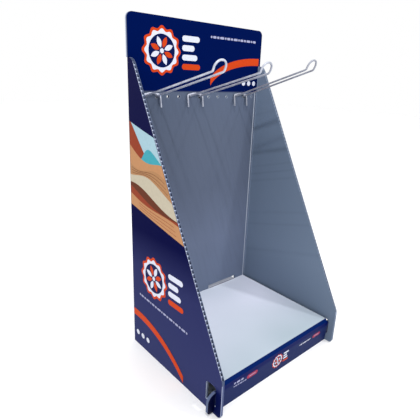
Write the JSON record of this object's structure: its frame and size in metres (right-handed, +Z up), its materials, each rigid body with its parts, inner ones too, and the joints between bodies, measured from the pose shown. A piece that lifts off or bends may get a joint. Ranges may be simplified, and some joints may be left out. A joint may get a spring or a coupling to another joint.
{
  "type": "counter display stand",
  "caption": "Counter display stand folded from fluted plastic board, with a tall back panel, slanted wings, a raised floor and wire hooks.",
  "frame": {"origin": "on the counter, at the middle of the stand's bounding box seen from above", "axes": "+X to the right seen from the front, +Y to the back panel, +Z up"},
  "size_m": [0.2728, 0.2124, 0.48],
  "materials": {
    "shell_board": "printed satin",
    "tray_board": "satin",
    "hook_wire": "zinc plated"
  },
  "bodies": {
    "root": {"display_shell": "shell_board", "base_tray": "tray_board", "hook_left": "hook_wire", "hook_middle": "hook_wire", "hook_right": "hook_wire"}
  },
  "joints": []
}
